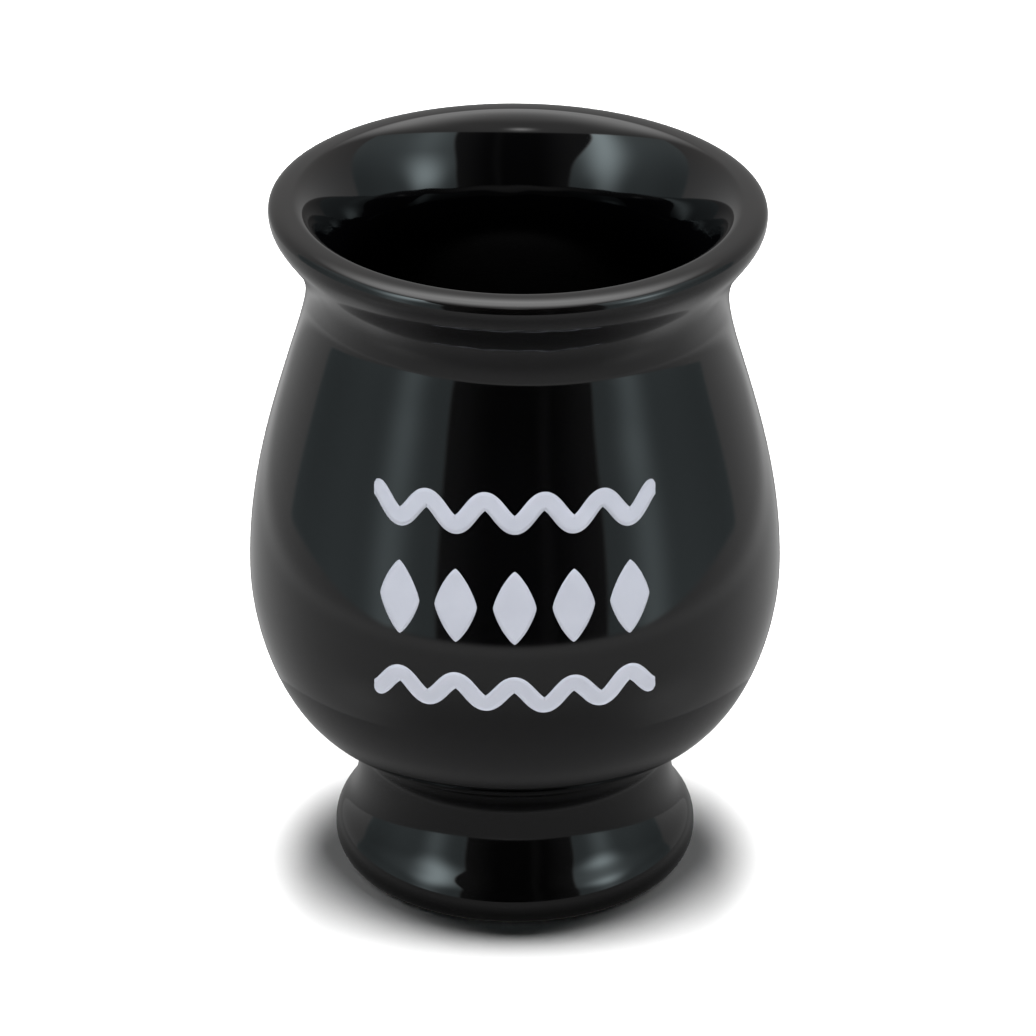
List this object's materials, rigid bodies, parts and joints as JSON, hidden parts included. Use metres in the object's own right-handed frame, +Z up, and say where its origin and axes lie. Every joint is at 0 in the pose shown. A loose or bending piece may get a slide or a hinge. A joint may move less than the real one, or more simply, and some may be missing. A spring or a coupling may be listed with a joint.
{
  "type": "ceramic mate cup",
  "caption": "Empty glazed ceramic mate cup with a rolled lip, flared neck, round belly and hollow foot.",
  "frame": {"origin": "centre of the foot ring, on the surface that the cup stands on", "axes": "+Z up along the cup's axis, -Y towards the printed front"},
  "size_m": [0.086, 0.086, 0.1153],
  "materials": {
    "glaze": "black high gloss glaze",
    "bare_clay": "unglazed matt stoneware",
    "print": "pale fired print"
  },
  "bodies": {
    "root": {"cup": "glaze"}
  },
  "joints": []
}
